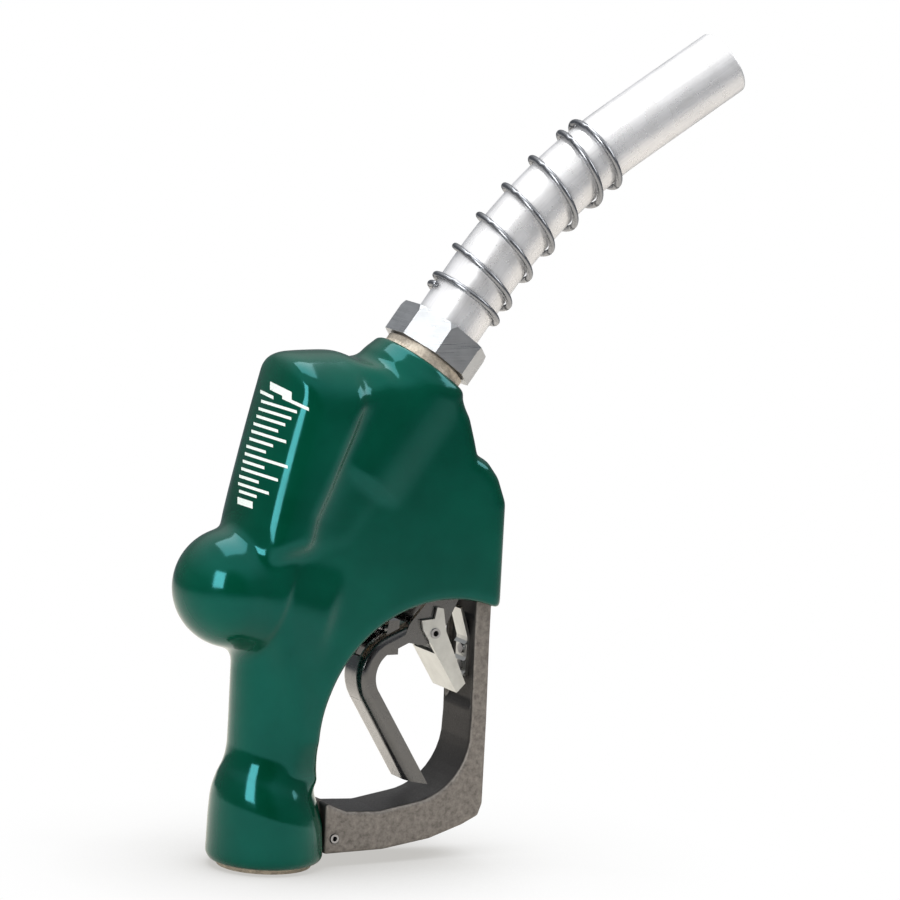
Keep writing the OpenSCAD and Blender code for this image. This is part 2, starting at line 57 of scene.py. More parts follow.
DOME = np.array([-21.4, 0.0, 124.2])
NECK = np.array([67.8, 0.0, 222.6])
VALVE_AXIS, NECK_AXIS = turned(106), turned(36)
SPOUT_R, SPOUT_IN = 15.1, 13.5
BEND_R, BEND_START, SPOUT_TURN = 250.0, 42.0, 21.7
BEND_END = BEND_START + BEND_R * math.radians(SPOUT_TURN)
TIP = BEND_END + 59.5
TUBE_FOOT = 12.3
WIRE_R = 1.4


def spout_frame(s):
    """Point on the spout's axis at distance s from the nut's foot, the axis there, and across."""
    foot = NECK + BEND_START * NECK_AXIS
    across = np.array([NECK_AXIS[2], 0.0, -NECK_AXIS[0]])
    centre = foot + BEND_R * across
    turn = SPOUT_TURN * min(max((s - BEND_START) / (BEND_END - BEND_START), 0), 1)
    axis = turned(36 + turn)
    out = -np.array([axis[2], 0.0, -axis[0]])
    straight = s - BEND_START if s < BEND_START else max(s - BEND_END, 0)
    return centre + BEND_R * out + straight * axis, axis, out


# ---------------------------------------------------------------- distance fields
def poly_distance(x, z, points):
    """Signed distance in the plane to a closed outline, negative inside."""
    pts = np.asarray(points, float)
    best = np.full(np.broadcast(x, z).shape, 1e9)
    inside = np.zeros(best.shape, bool)
    for i in range(len(pts)):
        (ax, az), (bx, bz) = pts[i], pts[(i + 1) % len(pts)]
        ex, ez = bx - ax, bz - az
        t = np.clip(((x - ax) * ex + (z - az) * ez) / (ex * ex + ez * ez), 0, 1)
        best = np.minimum(best, np.hypot(x - ax - t * ex, z - az - t * ez))
        crosses = (az > z) != (bz > z)
        with np.errstate(divide="ignore", invalid="ignore"):
            inside ^= crosses & (x < ex * (z - az) / (ez if ez else 1e-9) + ax)
    return np.where(inside, -best, best)


def grown(points, g):
    """Outline moved outwards by g, for points listed counter-clockwise."""
    p = np.asarray(points, float)
    a = np.roll(p, 1, 0)
    c = np.roll(p, -1, 0)

    def normal(u, v):
        d = v - u
        return np.stack([d[:, 1], -d[:, 0]], 1) / np.linalg.norm(d, axis=1)[:, None]

    m, n = normal(a, p), normal(p, c)
    return p + (m + n) * g / (1 + (m * n).sum(1))[:, None]


def both(a, b):
    """Distance to what two slabs have in common, exact outside their edge."""
    outside = np.hypot(np.maximum(a, 0), np.maximum(b, 0))
    return outside + np.minimum(np.maximum(a, b), 0)


def slab(x, y, z, outline, half, r, g=0.0):
    """Plate of the outline, half thick each side, with all its edges rounded to r."""
    flat = poly_distance(x, z, grown(outline, g - r))
    return both(flat, np.abs(y) - (half + g - r)) - r


def along(x, y, z, place, axis):
    """Distance along an axis and distance from it."""
    dx, dz = x - place[0], z - place[2]
    t = dx * axis[0] + dz * axis[2]
    across = dx * axis[2] - dz * axis[0]
    return t, np.hypot(across, y), across


def rod(x, y, z, place, axis, start, end, radius, r):
    t, away, _ = along(x, y, z, place, axis)
    return both(away - (radius - r), np.abs(t - (start + end) / 2) - (end - start) / 2 + r) - r


def join(a, b, k):
    """Union with a fillet of about k."""
    h = np.clip(0.5 + 0.5 * (b - a) / k, 0, 1)
    return b + (a - b) * h - k * h * (1 - h)


def cut(a, b, k):
    """a less b, with the rim rounded by about k."""
    return -join(-a, b, k)


def smoothed(field, passes):
    """Blurs a field a little along each axis."""
    for _ in range(passes):
        for ax in range(3):
            pad = [(0, 0)] * 3
            pad[ax] = (1, 1)
            p = np.pad(field, pad, mode="edge")
            n = field.shape[ax]
            lo, mid, hi = (np.take(p, range(i, i + n), ax) for i in range(3))
            field = 0.25 * lo + 0.5 * mid + 0.25 * hi
    return field


def grid(low, high, step):
    """Open coordinate grids with y from the plane of symmetry outwards."""
    x = np.arange(low[0], high[0] + step, step)
    y = np.arange(0, high[1] + step, step)
    z = np.arange(low[2], high[2] + step, step)
    return x[:, None, None], y[None, :, None], z[None, None, :]


def surface(name, field, x, y, z, step):
    """Mesh of a field's zero surface, mirrored over the plane of symmetry."""
    whole = np.concatenate([field[:, :0:-1, :], field], axis=1).astype(np.float32)
    vdb = openvdb.FloatGrid(5.0)
    vdb.copyFromArray(np.clip(whole, -5, 5))
    points, quads = vdb.convertToQuads(0.0)
    start = np.array([x.flat[0], -y.flat[-1], z.flat[0]])
    points = np.asarray(points, float) * step + start
    quads = np.asarray(quads, np.int64)
    # A few passes of smoothing that keep the volume take out the grid's own steps.
    count = np.zeros(len(points))
    edges = np.concatenate([quads[:, [i, (i + 1) % 4]] for i in range(4)])
    np.add.at(count, edges[:, 0], 1)
    for weight in (0.5, -0.52) * 6:
        total = np.zeros_like(points)
        np.add.at(total, edges[:, 0], points[edges[:, 1]])
        points += weight * (total / count[:, None] - points)
    mesh = bpy.data.meshes.new(name)
    mesh.from_pydata((points * MM).tolist(), [], quads.tolist())
    mesh.validate()
    bm = bmesh.new()
    bm.from_mesh(mesh)
    if bm.calc_volume(signed=True) < 0:
        bmesh.ops.reverse_faces(bm, faces=bm.faces)
    bm.to_mesh(mesh)
    bm.free()
    mesh.shade_smooth()
    return add(name, mesh)


def add(name, mesh):
    made = bpy.data.objects.new(name, mesh)
    bpy.context.scene.collection.objects.link(made)
    return made


# ---------------------------------------------------------------- materials
class Finish:
    """A node material: a shader and short calls for the nodes that feed it."""

    def __init__(self, name, **sockets):
        self.mat = bpy.data.materials.new(name)
        self.mat.use_nodes = True
        self.tree = self.mat.node_tree
        self.shader = self.tree.nodes["Principled BSDF"]
        for key, value in sockets.items():
            self.shader.inputs[key.replace("_", " ")].default_value = value
        self.where = self.node("ShaderNodeTexCoord").outputs["Object"]

    def node(self, kind, **values):
        made = self.tree.nodes.new(kind)
        for key, value in values.items():
            setattr(made, key, value)
        return made

    def link(self, out, into):
        self.tree.links.new(out, into)
        return out

    def moved(self, scale=(1, 1, 1), turn=(0, 0, 0), source=None):
        """Coordinates scaled and turned, for stretched patterns."""
        m = self.node("ShaderNodeMapping")
        self.link(source or self.where, m.inputs["Vector"])
        m.inputs["Scale"].default_value = scale
        m.inputs["Rotation"].default_value = [math.radians(a) for a in turn]
        return m.outputs["Vector"]

    def noise(self, scale, detail=3.0, rough=0.5, source=None):
        n = self.node("ShaderNodeTexNoise")
        self.link(source or self.where, n.inputs["Vector"])
        n.inputs["Scale"].default_value = scale
        n.inputs["Detail"].default_value = detail
        n.inputs["Roughness"].default_value = rough
        return n.outputs["Fac"]

    def cells(self, scale, source=None):
        n = self.node("ShaderNodeTexVoronoi")
        self.link(source or self.where, n.inputs["Vector"])
        n.inputs["Scale"].default_value = scale
        return n.outputs["Distance"]

    def ramp(self, fac, *stops):
        """Maps a value to a colour or grey over stops of (place, colour)."""
        r = self.node("ShaderNodeValToRGB")
        self.link(fac, r.inputs["Fac"])
        marks = r.color_ramp.elements
        while len(marks) < len(stops):
            marks.new(0.5)
        for mark, (place, shade) in zip(marks, stops):
            mark.position = place
            mark.color = (*shade, 1) if isinstance(shade, tuple) else (shade,) * 3 + (1,)
        return r.outputs["Color"]

    def span(self, fac, low, high, out_low, out_high):
        m = self.node("ShaderNodeMapRange")
        self.link(fac, m.inputs["Value"])
        for key, v in (("From Min", low), ("From Max", high), ("To Min", out_low), ("To Max", out_high)):
            m.inputs[key].default_value = v
        return m.outputs["Result"]

    def mix(self, fac, a, b, blend="MIX"):
        m = self.node("ShaderNodeMix", data_type="RGBA", blend_type=blend)
        for key, v in ((0, fac), (6, a), (7, b)):
            if isinstance(v, bpy.types.NodeSocket):
                self.link(v, m.inputs[key])
            else:
                m.inputs[key].default_value = v if key == 0 else (*v, 1)
        return m.outputs[2]

    def colour(self, out):
        self.link(out, self.shader.inputs["Base Color"])
        return self

    def rough(self, out):
        self.link(out, self.shader.inputs["Roughness"])
        return self

    def bump(self, *layers):
        """Layers of (height, strength, distance in millimetres), the coarse ones first."""
        last = None
        for height, strength, distance in layers:
            b = self.node("ShaderNodeBump")
            b.inputs["Strength"].default_value = strength
            b.inputs["Distance"].default_value = distance * MM
            self.link(height, b.inputs["Height"])
            if last is not None:
                self.link(last, b.inputs["Normal"])
            last = b.outputs["Normal"]
        self.link(last, self.shader.inputs["Normal"])
        return self


def vinyl():
    f = Finish("green_vinyl", Specular_IOR_Level=0.5, Specular_Tint=(0.16, 0.9, 1.0, 1), Coat_Weight=0.03,
               Coat_Roughness=0.05)
    cloud = f.noise(26, 3, 0.55)
    f.colour(f.ramp(cloud, (0.3, (0.0004, 0.035, 0.017)), (0.52, (0.0006, 0.045, 0.024)),
                    (0.75, (0.001, 0.058, 0.032))))
    f.rough(f.span(f.noise(90, 4, 0.6), 0.3, 0.7, 0.09, 0.15))
    f.bump((f.noise(38, 2, 0.4), 0.3, 0.5), (f.noise(160, 2, 0.5), 0.1, 0.12))
    return f.mat


def cast(name, dark, mid, light, metallic=0.85, inner=None):
    """Sand-cast metal; inner, when given, is a painted shade colour that darkens every face turned up, back,
    inwards or any way but to the sides.
    """
    f = Finish(name, Metallic=metallic)
    blotch = f.noise(420, 5, 0.65)
    speck = f.noise(1500, 3, 0.7)
    base = f.ramp(blotch, (0.3, dark), (0.5, mid), (0.72, light))
    marks_and_painted_shade = f.mix(0.5, base, f.ramp(speck, (0.35, dark), (0.62, light)), "OVERLAY")
    # Painted shade: faces turned any way but to the sides take the dark inner colour, standing in for the
    # shade inside the guard's loop.
    if inner:
        normal = f.node("ShaderNodeNewGeometry").outputs["Normal"]
        side = f.node("ShaderNodeSeparateXYZ")
        f.link(normal, side.inputs[0])
        across = f.node("ShaderNodeMath", operation="ABSOLUTE")
        f.link(side.outputs["Y"], across.inputs[0])
        marks_and_painted_shade = f.mix(f.span(across.outputs[0], 0.35, 0.75, 0, 1), inner, marks_and_painted_shade)
    f.colour(marks_and_painted_shade)
    f.rough(f.span(speck, 0.3, 0.7, 0.42, 0.62))
    f.bump((blotch, 0.35, 0.3), (speck, 0.5, 0.18), (f.cells(1400), 0.2, 0.08))
    return f.mat


def metal(name, tint, low, high, grain=(60, 60, 900), turn=(0, 0, 0), depth=0.05, metallic=1.0):
    """Machined or drawn metal, its grain finest along the local Z after the turn."""
    f = Finish(name, Metallic=metallic)
    lines = f.noise(1.0, 3, 0.6, f.moved(grain, turn))
    stain = f.noise(140, 4, 0.6)
    dim = tuple(c * 0.78 for c in tint)
    f.colour(f.mix(0.5, f.ramp(lines, (0.3, dim), (0.65, tint)), f.ramp(stain, (0.35, dim), (0.6, tint))))
    f.rough(f.span(lines, 0.25, 0.75, low, high))
    f.bump((lines, 0.35, depth))
    return f.mat


def brushed_spout():
    """Polished tube: fine lines round it and soft streaks along it, by the tube's own map."""
    f = Finish("polished_spout", Metallic=0.62)
    uv = f.node("ShaderNodeUVMap", uv_map="tube").outputs["UV"]
    along_tube = f.noise(1.0, 3, 0.6, f.moved((4, 90, 1), source=uv))
    round_tube = f.noise(1.0, 2, 0.5, f.moved((900, 3, 1), source=uv))
    smudge = f.noise(70, 4, 0.6)
    f.colour(f.mix(0.45, f.ramp(along_tube, (0.3, (0.76, 0.76, 0.77)), (0.6, (0.93, 0.93, 0.94))),
                   f.ramp(smudge, (0.35, (0.82, 0.81, 0.8)), (0.65, (0.95, 0.95, 0.96)))))
    f.rough(f.span(smudge, 0.3, 0.7, 0.22, 0.34))
    f.bump((along_tube, 0.12, 0.05), (round_tube, 0.1, 0.02))
    return f.mat


def black_paint():
    f = Finish("black_paint", Metallic=0.0, Specular_IOR_Level=1.0, Coat_Weight=1.0, Coat_Roughness=0.1)
    worn = f.noise(180, 4, 0.65)
    f.colour(f.ramp(worn, (0.35, (0.006, 0.0065, 0.007)), (0.7, (0.016, 0.017, 0.019))))
    f.rough(f.span(worn, 0.3, 0.7, 0.16, 0.32))
    f.bump((f.noise(90, 3, 0.5), 0.3, 0.25), (f.noise(700, 2, 0.5), 0.15, 0.04))
    return f.mat


def rubber(name="black_rubber"):
    f = Finish(name, Specular_IOR_Level=0.4)
    grain = f.noise(900, 3, 0.6)
    f.colour(f.ramp(grain, (0.3, (0.016, 0.016, 0.016)), (0.7, (0.035, 0.035, 0.035))))
    f.rough(f.span(grain, 0.3, 0.7, 0.55, 0.75))
    f.bump((grain, 0.3, 0.05))
    return f.mat


def ink():
    f = Finish("white_ink", Specular_IOR_Level=0.4)
    grain = f.noise(1500, 2, 0.5)
    f.colour(f.ramp(grain, (0.3, (0.62, 0.7, 0.66)), (0.7, (0.82, 0.87, 0.84))))
    f.rough(f.span(grain, 0.3, 0.7, 0.35, 0.5))
    f.bump((grain, 0.2, 0.03))
    return f.mat


def white_floor():
    """Seen plain white with a painted soft contact shadow; to the part its colour is a painted pool of light,
    warm near and dim far off.
    """
    f = Finish("pale_floor", Specular_IOR_Level=0.1)
    reach = f.node("ShaderNodeVectorMath", operation="LENGTH")
    f.link(f.where, reach.inputs[0])
    # Painted pool of light: the colour runs from warm and pale near the part to dim far off.
    f.colour(f.mix(f.span(reach.outputs["Value"], 0.35, 1.2, 0, 1), (0.78, 0.73, 0.66), (0.16, 0.17, 0.19)))
    f.rough(f.span(f.noise(8, 2, 0.5), 0.3, 0.7, 0.85, 0.95))
    # Painted contact shadow: ambient occlusion darkens the white the camera sees near the part.
    close = f.node("ShaderNodeAmbientOcclusion", samples=16)
    close.inputs["Distance"].default_value = 0.12
    shown = f.node("ShaderNodeEmission")
    f.link(f.ramp(close.outputs["AO"], (0.35, (0.55, 0.54, 0.52)), (0.97, (1.0, 1.0, 1.0))),
           shown.inputs["Color"])
    either = f.node("ShaderNodeMixShader")
    f.link(f.node("ShaderNodeLightPath").outputs["Is Camera Ray"], either.inputs[0])
    f.link(f.shader.outputs[0], either.inputs[1])
    f.link(shown.outputs[0], either.inputs[2])
    f.link(either.outputs[0], f.tree.nodes["Material Output"].inputs["Surface"])
    return f.mat


CASTING = cast("cast_aluminium", (0.34, 0.31, 0.27), (0.5, 0.46, 0.4), (0.64, 0.6, 0.54), 0.7)
# The last colour is painted shade for the guard's faces not turned to the sides.
GUARD = cast("cast_guard", (0.15, 0.14, 0.13), (0.25, 0.235, 0.22), (0.34, 0.32, 0.3), 0.55,
             (0.035, 0.033, 0.032))
VINYL, BLACK, RUBBER, INK = vinyl(), black_paint(), rubber(), ink()
BRASS = metal("brass", (0.78, 0.56, 0.27), 0.25, 0.4)
STEEL = metal("steel", (0.42, 0.42, 0.43), 0.28, 0.42)
STAINLESS = metal("stainless", (0.72, 0.72, 0.73), 0.16, 0.3)
SPRING = metal("spring_wire", (0.3, 0.31, 0.33), 0.22, 0.34, (1500, 1500, 1500), depth=0.01)
NUT = metal("machined_nut", (0.5, 0.515, 0.53), 0.24, 0.4, (60, 60, 2200), (0, -36, 0), 0.08)
ZINC = metal("zinc_plate", (0.6, 0.61, 0.59), 0.26, 0.42, (120, 500, 120), (0, 0, 0), 0.04)
SPOUT = brushed_spout()

BY_SLOT = {
    "cast_aluminium": CASTING, "cast_guard": GUARD, "vinyl_cover": VINYL, "steel": STEEL,
    "stainless": STAINLESS, "spring_steel": SPRING, "brass": BRASS, "rubber": RUBBER,
    "black_plastic": RUBBER, "black_lever": BLACK, "zinc_plate": ZINC, "machined_nut": NUT,
    "polished_spout": SPOUT,
}
for part in frame["record"]["subparts"]:
    shape = frame["nodes"][part["node"]]
    shape.data.materials.clear()
    shape.data.materials.append(BY_SLOT[part["material_slot"]])


# ---------------------------------------------------------------- grip cover
FLANK = [(9, 42), (98.5, 42), (98.5, 160), (94.5, 170.5), (89.5, 177), (83.5, 180.5),
         (81.5, 188), (78.5, 198), (73.5, 206), (73.5, 211.5), (66, 213.5), (38, 214), (8, 205),
         (-12, 140), (-4, 96)]
BULGE_LEFT = [(9.4, 224.1), (2, 223.1), (-1.2, 221.6), (-3.6, 218.6), (-6, 211.5), (-11.2, 197.5),
              (-15.6, 184.5), (-18.6, 171.5), (-19.7, 163), (-20.4, 153), (-16, 144)]
BULGE = [(20, 148), (45, 180), (45, 205), (38, 218.8), (29, 221.3), (16, 224.4)] + BULGE_LEFT
BULGE_SIDES = [(0, 148), (2, 158.6), (7.5, 170.5), (13, 184), (18.5, 197), (22, 207),
               (22, 224.2)] + BULGE_LEFT
# Outer radius of the grip against height, the height leaning with the bulb's shoulder.
GRIP = [(0, 26.0), (5, 26.0), (14, 25.6), (23, 25.1), (28, 24.3), (34, 22.5), (39, 20.4),
        (43, 19.3), (48, 18.6), (60, 18.5), (112, 18.55)]


def grip_cover():
    step = 0.8
    x, y, z = grid((-56, 0, -6), (112, 34, 236), step)
    g = 2.75
    flank = slab(x, y, z, FLANK, 21.5, 7, g)
    arch = np.hypot(x - 75, z - 57.5) - (63.6 - g)
    flank = cut(flank, arch, 3)
    # Its foot thins out into the round grip.
    flank = cut(flank, np.interp(z, (42, 58, 80), (14, 22.4, 24.25)) - y + 0 * x, 3)
    heights, radii = zip(*GRIP)
    away = np.hypot(x, y)
    lean = z + np.clip(0.33 * x, -8, 8) * np.clip((z - 8) / 14, 0, 1)
    grip = both(away - np.interp(lean, heights, radii) + 5, np.abs(z - 56) - 54.5 + 5) - 5
    valve = np.minimum(rod(x, y, z, DOME, VALVE_AXIS, 0, 14, 23.6 + g, 2),
                       rod(x, y, z, DOME, VALVE_AXIS, 10, 36, 21.4 + g, 2))
    dome = np.sqrt((x - DOME[0]) ** 2 + y ** 2 + (z - DOME[2]) ** 2) - (23.6 + g)
    bulge = join(slab(x, y, z, BULGE, 17, 5, g), slab(x, y, z, BULGE_SIDES, 26, 5, g), 9)
    _, from_spine, _ = along(x, y, z, (15.1, 0, 173.1), turned(13.4))
    bulge = cut(bulge, 31.25 + g - from_spine, 8)
    bulge = cut(bulge, 27.25 + g - np.hypot(y, np.maximum(z - 197.5, 0)) + 0 * x, 4)
    w, from_neck, _ = along(x, y, z, NECK, NECK_AXIS)
    boss = rod(x, y, z, NECK, NECK_AXIS, -62, 10, 22 + g, 2)
    boss = np.maximum(boss, (from_neck - (22 + g) + np.maximum(w + 12, 0) * 0.32) * 0.95)
    body = join(grip, np.minimum(valve, dome), 7)
    body = join(body, flank, 8)
    body = join(body, bulge, 6)
    body = join(body, boss, 6)
    body = smoothed(body, 3)
    shell = np.maximum(body, -(body + 2.6))
    room = [(25, 60), (91.9, 60), (91.9, 112), (96, 116), (91.9, 128.5), (76, 128.5),
            (70.5, 122.5), (50, 118.6), (38, 111.6), (28.5, 103.6)]
    shell = cut(shell, slab(x, y, z, room, 13.2, 1), 1.2)
    shell = cut(shell, slab(x, y, z, [(91.7, 60), (110, 60), (110, 136.6), (91.7, 136.6)], 14.4, 0.5), 1.2)
    shell = cut(shell, rod(x, y, z, (82, 0, 121), turned(122), -16, 12, 9.5, 0.5), 1.2)
    shell = cut(shell, slab(x, y, z, [(21.5, 2), (40, 2), (40, 25), (33, 25.4), (23, 29.8), (21.5, 29.8)],
                            14.4, 0.5), 1.2)
    shell = cut(shell, -w - 4.2, 1.6)
    shell = cut(shell, z - 1.5, 1.6)
    made = surface("grip_cover", shell, x, y, z, step)
    made.data.materials.append(VINYL)
    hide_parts("scuff_cover")
    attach(made, "nozzle_body")
    return made


# ---------------------------------------------------------------- label bars
def label_bars(cover):
    """Plain bars printed on the cover's crowned pad, in place of any wording."""
    points = [v.co.copy() for v in cover.data.vertices]
    tree = BVHTree.FromPolygons(points, [tuple(p.vertices) for p in cover.data.polygons])
    # The label faces out and a little forwards; its rows lean, and get shorter downwards.
    inward = Vector((0.479, 0.864, -0.156))
    across, above = Vector((0.875, -0.485, 0)), Vector((0.076, 0.137, 0.988))
    across, above = across + 0.052 * above, above - 0.052 * across
    rows = [(273.5, 383.5, 26, 9.6, 3.6)]
    rows += [(263.5, 391.5, 25, 6.0, 1.5), (286, 397.5, 24.5, 11.5, 1.5)]
    for i, (start, long) in enumerate(((264.5, 36), (262, 33), (260, 29), (257, 25), (255, 35),
                                       (253, 24), (250, 20), (248.5, 43), (246.5, 22), (245, 37),
                                       (243, 20), (242, 31), (243, 18))):
        rows.append((start, 401.2 + 7.35 * i, 17, long * 0.44, 1.3))
    rows.append((241.5, 496.5, 17, 6.8, 3.0))
    bm = bmesh.new()
    for px, py, lean, long, tall in rows:
        count = 14
        strip = []
        slope = math.tan(math.radians(lean))
        for i in range(count + 1):
            out = (px - 264) * 0.44 + long * i / count
            pair = []
            for edge in (0, tall):
                high = (862 - py) * 0.44 - slope * long * i / count - edge
                aim = (across * out + above * high) * MM
                hit, normal, _, _ = tree.ray_cast(aim - inward * 0.3, inward)
                pair.append(bm.verts.new(hit + normal * 0.00012))
            strip.append(pair)
        for (a, b), (c, d) in zip(strip, strip[1:]):
            bm.faces.new((a, b, d, c))
    bmesh.ops.recalc_face_normals(bm, faces=bm.faces)
    mesh = bpy.data.meshes.new("label_bars")
    bm.to_mesh(mesh)
    bm.free()
    mesh.shade_smooth()
    made = add("label_bars", mesh)
    made.data.materials.append(INK)
    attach(made, "nozzle_body")
    return made


# ---------------------------------------------------------------- spout
def ring_mesh(name, rings, closed_ends, uv_of=None):
    """Skin over rings of points; the last ring joins the first when the ends aren't closed."""
    bm = bmesh.new()
    layer = bm.loops.layers.uv.new("tube")
    verts = [[bm.verts.new(Vector(p) * MM) for p in ring] for ring in rings]
    n = len(rings[0])
    pairs = list(zip(range(len(rings)), range(1, len(rings))))
    if not closed_ends:
        pairs.append((len(rings) - 1, 0))
    for i, j in pairs:
        for k in range(n):
            face = bm.faces.new((verts[i][k], verts[i][(k + 1) % n], verts[j][(k + 1) % n], verts[j][k]))
            if uv_of:
                for loop, (a, b) in zip(face.loops, ((i, k), (i, k + 1), (j, k + 1), (j, k))):
                    loop[layer].uv = uv_of(a, b)
    if closed_ends:
        bm.faces.new(verts[0][::-1])
        bm.faces.new(verts[-1])
    bmesh.ops.recalc_face_normals(bm, faces=bm.faces)
    mesh = bpy.data.meshes.new(name)
    bm.to_mesh(mesh)
    bm.free()
    mesh.shade_smooth()
    return mesh


def spout_tube():
    sides = 128
    stops = np.concatenate([[TUBE_FOOT], np.linspace(TUBE_FOOT + 1, TIP - 1, 96)])
    outer = [(s, SPOUT_R) for s in stops] + [(TIP - 0.45, SPOUT_R), (TIP - 0.12, SPOUT_R - 0.12),
                                             (TIP, SPOUT_R - 0.45)]
    inner = [(TIP, SPOUT_IN + 0.35), (TIP - 0.1, SPOUT_IN + 0.1), (TIP - 0.35, SPOUT_IN)]
    inner += [(s, SPOUT_IN) for s in stops[::-1]]
    profile = outer + inner
    rings = []
    for s, r in profile:
        place, _, out = spout_frame(s)
        turn = np.linspace(0, 2 * math.pi, sides, endpoint=False)
        rings.append([place + r * (math.cos(a) * out + math.sin(a) * np.array([0, 1, 0])) for a in turn])
    mesh = ring_mesh("spout_tube_polished", rings, False, lambda i, k: (profile[i][0] / 100, k / sides))
    made = add("spout_tube_polished", mesh)
    # The air-sensing port on the underside.
    place, axis, out = spout_frame(TIP - 14)
    drill = bpy.data.meshes.new("port_drill")
    bm = bmesh.new()
    bmesh.ops.create_cone(bm, cap_ends=True, segments=32, radius1=0.002, radius2=0.002, depth=0.02)
    bm.to_mesh(drill)
    bm.free()
    tool = add("port_drill", drill)
    facing = Vector(-out).to_track_quat("Z", "Y").to_matrix().to_4x4()
    tool.matrix_world = Matrix.Translation(Vector(place - out * 15) * MM) @ facing
    hole = made.modifiers.new("port", "BOOLEAN")
    hole.object, hole.operation, hole.solver = tool, "DIFFERENCE", "EXACT"
    bpy.context.view_layer.update()
    done = bpy.data.meshes.new_from_object(made.evaluated_get(bpy.context.evaluated_depsgraph_get()))
    made.modifiers.clear()
    made.data = done
    bpy.data.objects.remove(tool)
    done.materials.clear()
    done.materials.append(SPOUT)
    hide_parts("spout_tube")
    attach(made, "nozzle_body")


def spring_point(u):
    """Centre of the anchor spring's wire after u turns, the same run as in the part's source."""
    close, lead, opened = 1.2, 4.5, 5.1
    turns = opened + 2 * close
    open_lead = (98 - 2 * WIRE_R - 2 * close * lead) / opened
    run = lead * (min(u, close) + max(u - close - opened, 0)) + open_lead * min(max(u - close, 0), opened)
    mean = SPOUT_R + WIRE_R + 0.12 + 0.5 * min(1, min(u, turns - u) / 1.6)
    place, _, out = spout_frame(27 + WIRE_R + run)
    a = 2 * math.pi * u
    return place + mean * (math.cos(a) * out + math.sin(a) * np.array([0, 1, 0]))


def swept(name, path, radius, sides):
    """Wire along a path, with its ends rounded over."""
    path = np.asarray(path)
    ways = np.gradient(path, axis=0)
    ways /= np.linalg.norm(ways, axis=1)[:, None]
    stops = [(path[0] - ways[0] * radius * (1 - b) * 0.6, ways[0], a) for a, b in ((0.45, 0.0), (0.82, 0.55))]
    stops += [(p, w, 1.0) for p, w in zip(path, ways)]
    stops += [(path[-1] + ways[-1] * radius * (1 - b) * 0.6, ways[-1], a)
              for a, b in ((0.82, 0.55), (0.45, 0.0))]
    rings = []
    for p, w, share in stops:
        side = np.cross(w, [0, 1, 0] if abs(w[1]) < 0.9 else [1, 0, 0])
        side /= np.linalg.norm(side)
        up = np.cross(w, side)
        turn = np.linspace(0, 2 * math.pi, sides, endpoint=False)
        rings.append([p + radius * share * (math.cos(a) * side + math.sin(a) * up) for a in turn])
    return ring_mesh(name, rings, True)


def anchor_spring():
    turns = 5.1 + 2.4
    path = [spring_point(u) for u in np.linspace(0, turns, int(turns * 56))]
    made = add("anchor_spring_wire", swept("anchor_spring_wire", path, WIRE_R, 16))
    made.data.materials.append(SPRING)
    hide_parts("anchor_spring")
    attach(made, "nozzle_body")


# ---------------------------------------------------------------- guard
def guard_casting():
    step = 0.5
    x, y, z = grid((18, 0, 0), (106, 17, 141), step)

    def arc(cx, cz, r, a, b, steps):
        turn = np.radians(np.linspace(a, b, steps + 1))
        return [(cx + r * math.cos(t), cz + r * math.sin(t)) for t in turn]

    outline = [(22.4, 5.6), (52, 6), (75, 9.4), (91, 14.6), (99, 18.4), (101, 24), (101, 62),
               (100.4, 98), (100.4, 136), (92.4, 136), (92.4, 98), (93, 62)]
    outline += arc(63, 56, 29.8, 2, -84, 10) + [(49, 23.6), (33, 24.4), (22.4, 29)]
    edge = 1.6
    bar = slab(x, y, z, outline, 14, edge)
    for place, half in (([(10, 2), (32, 2), (32, 33), (10, 33)], 5.1),
                        ([(85, 107), (96, 107), (96.5, 128.5), (85, 128.5)], 11.5),
                        ([(85, 66), (92.5, 66), (95, 70), (95, 108), (85, 108)], 11.5)):
        bar = cut(bar, slab(x, y, z, place, half, 0.6), 1.0)
    bar = cut(bar, np.hypot(x, y) - 23.5 + z * 0, 0.8)
    bar = np.maximum(bar, -(np.hypot(x - 27.3, z - 12.5) - 2.0))
    bar = np.maximum(bar, -(np.hypot(x - 95.8, z - 131) - 2.0))
    for height in (84.7, 92):
        bar = np.maximum(bar, -np.maximum(np.hypot(y, z - height) - 1.5, 90 - x))
    made = surface("guard_casting", smoothed(bar, 1), x, y, z, step)
    made.data.materials.append(GUARD)
    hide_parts("lever_guard")
    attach(made, "nozzle_body")


cover = grip_cover()
label_bars(cover)
spout_tube()
anchor_spring()
guard_casting()


# ---------------------------------------------------------------- floor, light, camera
floor = bpy.data.meshes.new("floor")
floor.from_pydata([(-30, -30, 0), (30, -30, 0), (30, 30, 0), (-30, 30, 0)], [], [(0, 1, 2, 3)])
floor = add("floor", floor)
floor.location.z = -0.0003
floor.data.materials.append(white_floor())

AZIMUTH, ELEVATION, ROLL = -29.0, 9.0, 3.0
DISTANCE, MM_PER_PIXEL = 2.5, 0.44
a, e, roll = (math.radians(v) for v in (AZIMUTH, ELEVATION, ROLL))
back = Vector((math.sin(a) * math.cos(e), -math.cos(a) * math.cos(e), math.sin(e)))
right = Vector((math.cos(a), math.sin(a), 0))
up = back.cross(right)
right, up = right * math.cos(roll) + up * math.sin(roll), up * math.cos(roll) - right * math.sin(roll)
middle = Vector((0.075, 0, 0.17))
aim = right * (0.186 * MM_PER_PIXEL) + up * (0.412 * MM_PER_PIXEL)
aim += back * middle.dot(back)

camera = bpy.data.objects.new("camera", bpy.data.cameras.new("camera"))
bpy.context.scene.collection.objects.link(camera)
camera.data.sensor_width = 36
camera.data.lens = 36 * DISTANCE / (0.9 * MM_PER_PIXEL)
camera.data.clip_start, camera.data.clip_end = 0.1, 100
camera.matrix_world = Matrix((right, up, back)).transposed().to_4x4()
camera.location = aim + back * DISTANCE
bpy.context.scene.camera = camera


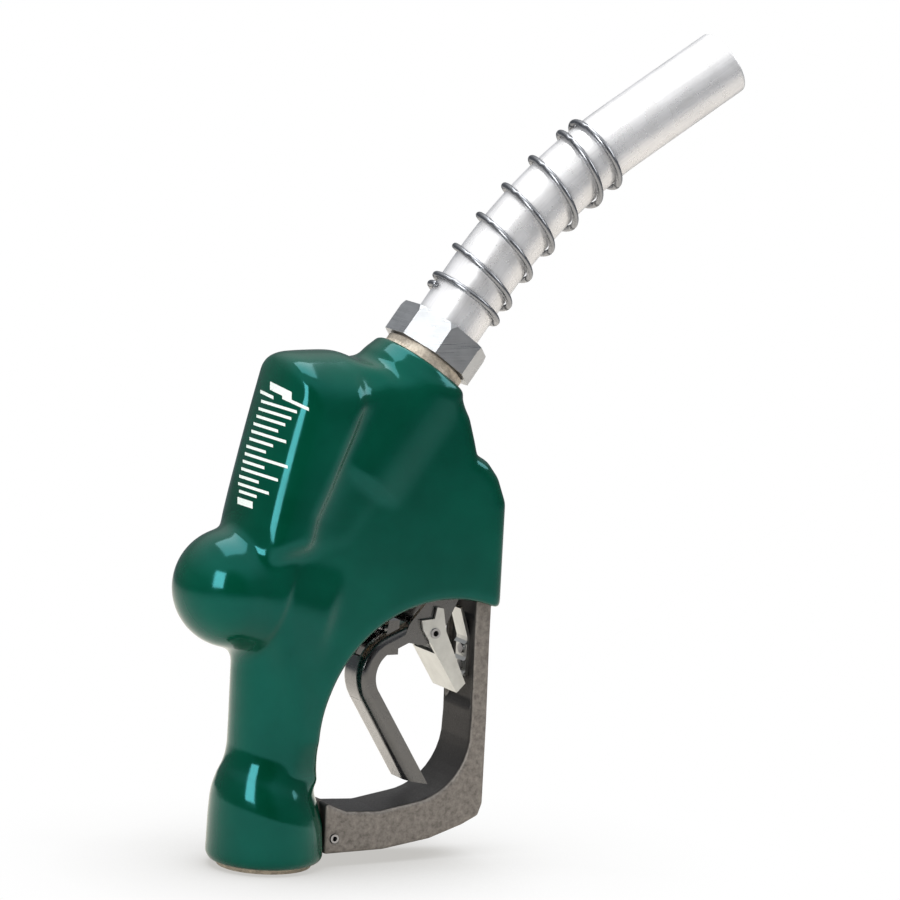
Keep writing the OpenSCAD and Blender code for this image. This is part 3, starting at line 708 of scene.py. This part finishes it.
def panel(name, place, target, size, power, tint=(1, 1, 1)):
    data = bpy.data.lights.new(name, "AREA")
    data.shape, data.size, data.size_y = "RECTANGLE", size[0], size[1]
    data.energy, data.color = power, tint
    made = bpy.data.objects.new(name, data)
    bpy.context.scene.collection.objects.link(made)
    made.location = place
    made.rotation_euler = (Vector(place) - Vector(target)).to_track_quat("Z", "Y").to_euler()
    return made


centre = (0.06, 0, 0.17)
panel("key_light", (-1.7, -1.2, 0.95), centre, (0.8, 1.2), 34)
panel("side_light", (1.9, -0.9, 1.2), centre, (0.9, 0.9), 12)
panel("top_light", (0.1, 0.2, 2.2), centre, (1.6, 1.6), 34)

world = bpy.data.worlds.new("studio")
bpy.context.scene.world = world
world.use_nodes = True
nodes, links = world.node_tree.nodes, world.node_tree.links
sky = nodes["Background"]
coord = nodes.new("ShaderNodeTexCoord")


def toward(direction, *stops):
    """Grey or colour by how near a direction is, over stops of (cosine, colour)."""
    facing = nodes.new("ShaderNodeVectorMath")
    facing.operation = "DOT_PRODUCT"
    links.new(coord.outputs["Generated"], facing.inputs[0])
    facing.inputs[1].default_value = Vector(direction).normalized()
    shade = nodes.new("ShaderNodeValToRGB")
    links.new(facing.outputs["Value"], shade.inputs["Fac"])
    marks = shade.color_ramp.elements
    while len(marks) < len(stops):
        marks.new(0.5)
    for mark, (place, colour) in zip(marks, stops):
        mark.position, mark.color = place, (*colour, 1)
    return shade.outputs["Color"]


# Dim and bluish round the horizon, bright overhead, and dark where the camera stands.
height = toward((0, 0, 1), (0.0, (0.17, 0.18, 0.195)), (0.3, (0.23, 0.24, 0.26)), (0.75, (1.0, 1.0, 1.0)))
stand = toward((-0.47, -0.86, 0.16), (0.80, (1.0, 1.0, 1.0)), (0.93, (0.03, 0.03, 0.035)))
product = nodes.new("ShaderNodeMix")
product.data_type, product.blend_type = "RGBA", "MULTIPLY"
product.inputs[0].default_value = 1.0
links.new(height, product.inputs[6])
links.new(stand, product.inputs[7])
links.new(product.outputs[2], sky.inputs["Color"])
sky.inputs["Strength"].default_value = 1.0
plain = nodes.new("ShaderNodeBackground")
plain.inputs["Color"].default_value = (1, 1, 1, 1)
plain.inputs["Strength"].default_value = 1.0
seen = nodes.new("ShaderNodeLightPath")
either = nodes.new("ShaderNodeMixShader")
links.new(seen.outputs["Is Camera Ray"], either.inputs[0])
links.new(sky.outputs[0], either.inputs[1])
links.new(plain.outputs[0], either.inputs[2])
links.new(either.outputs[0], nodes["World Output"].inputs["Surface"])
bpy.context.scene.view_settings.view_transform = "Standard"
